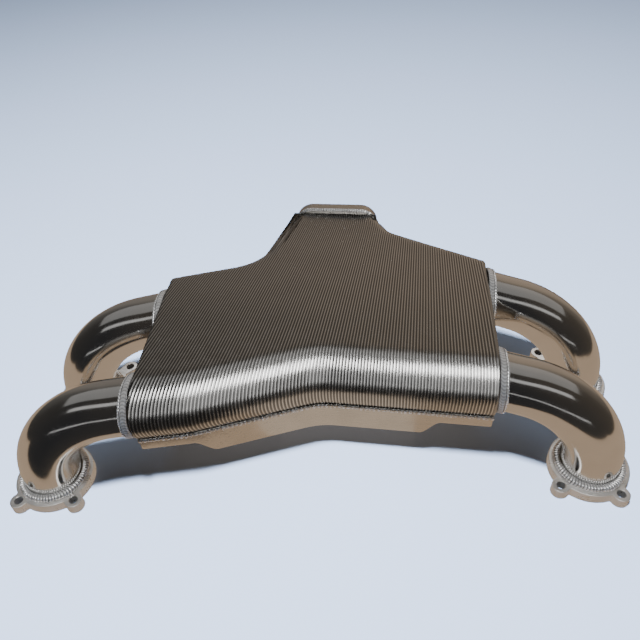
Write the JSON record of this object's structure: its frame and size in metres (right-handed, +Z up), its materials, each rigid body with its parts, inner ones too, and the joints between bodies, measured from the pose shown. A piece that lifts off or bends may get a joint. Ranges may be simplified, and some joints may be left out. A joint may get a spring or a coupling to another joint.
{
  "type": "intake manifold",
  "caption": "Welded aluminium intake manifold with a ribbed plenum across the engine, bent tube runners down to port flanges, and a rear throttle neck.",
  "frame": {"origin": "middle of the base of the bounding box, on the plane of the port flanges' lower faces", "axes": "+X across the engine to the right bank, +Y rearward to the throttle flange, +Z up, away from the cylinder heads"},
  "size_m": [0.623, 0.4036, 0.1295],
  "materials": {
    "machined_aluminium": "satin, fine machined ribs",
    "smooth_aluminium": "smooth, lightly polished",
    "polished_aluminium": "mirror polished",
    "flange_aluminium": "satin, machined",
    "weld_bead": "rippled weld bead"
  },
  "bodies": {
    "root": {"plenum_upper_shell": "machined_aluminium", "plenum_lower_shell": "smooth_aluminium", "runner_front_left": "polished_aluminium", "runner_collar_front_left": "weld_bead", "runner_weld_front_left": "weld_bead", "port_flange_front_left": "flange_aluminium", "flange_weld_front_left": "weld_bead", "runner_rear_left": "polished_aluminium", "runner_collar_rear_left": "weld_bead", "runner_weld_rear_left": "weld_bead", "port_flange_rear_left": "flange_aluminium", "flange_weld_rear_left": "weld_bead", "runner_front_right": "polished_aluminium", "runner_collar_front_right": "weld_bead", "runner_weld_front_right": "weld_bead", "port_flange_front_right": "flange_aluminium", "flange_weld_front_right": "weld_bead", "runner_rear_right": "polished_aluminium", "runner_collar_rear_right": "weld_bead", "runner_weld_rear_right": "weld_bead", "port_flange_rear_right": "flange_aluminium", "flange_weld_rear_right": "weld_bead", "throttle_flange": "flange_aluminium", "throttle_flange_weld": "weld_bead", "seam_weld_front": "weld_bead", "seam_weld_left": "weld_bead", "seam_weld_right": "weld_bead", "seam_weld_rear_left": "weld_bead", "seam_weld_rear_right": "weld_bead"}
  },
  "joints": []
}
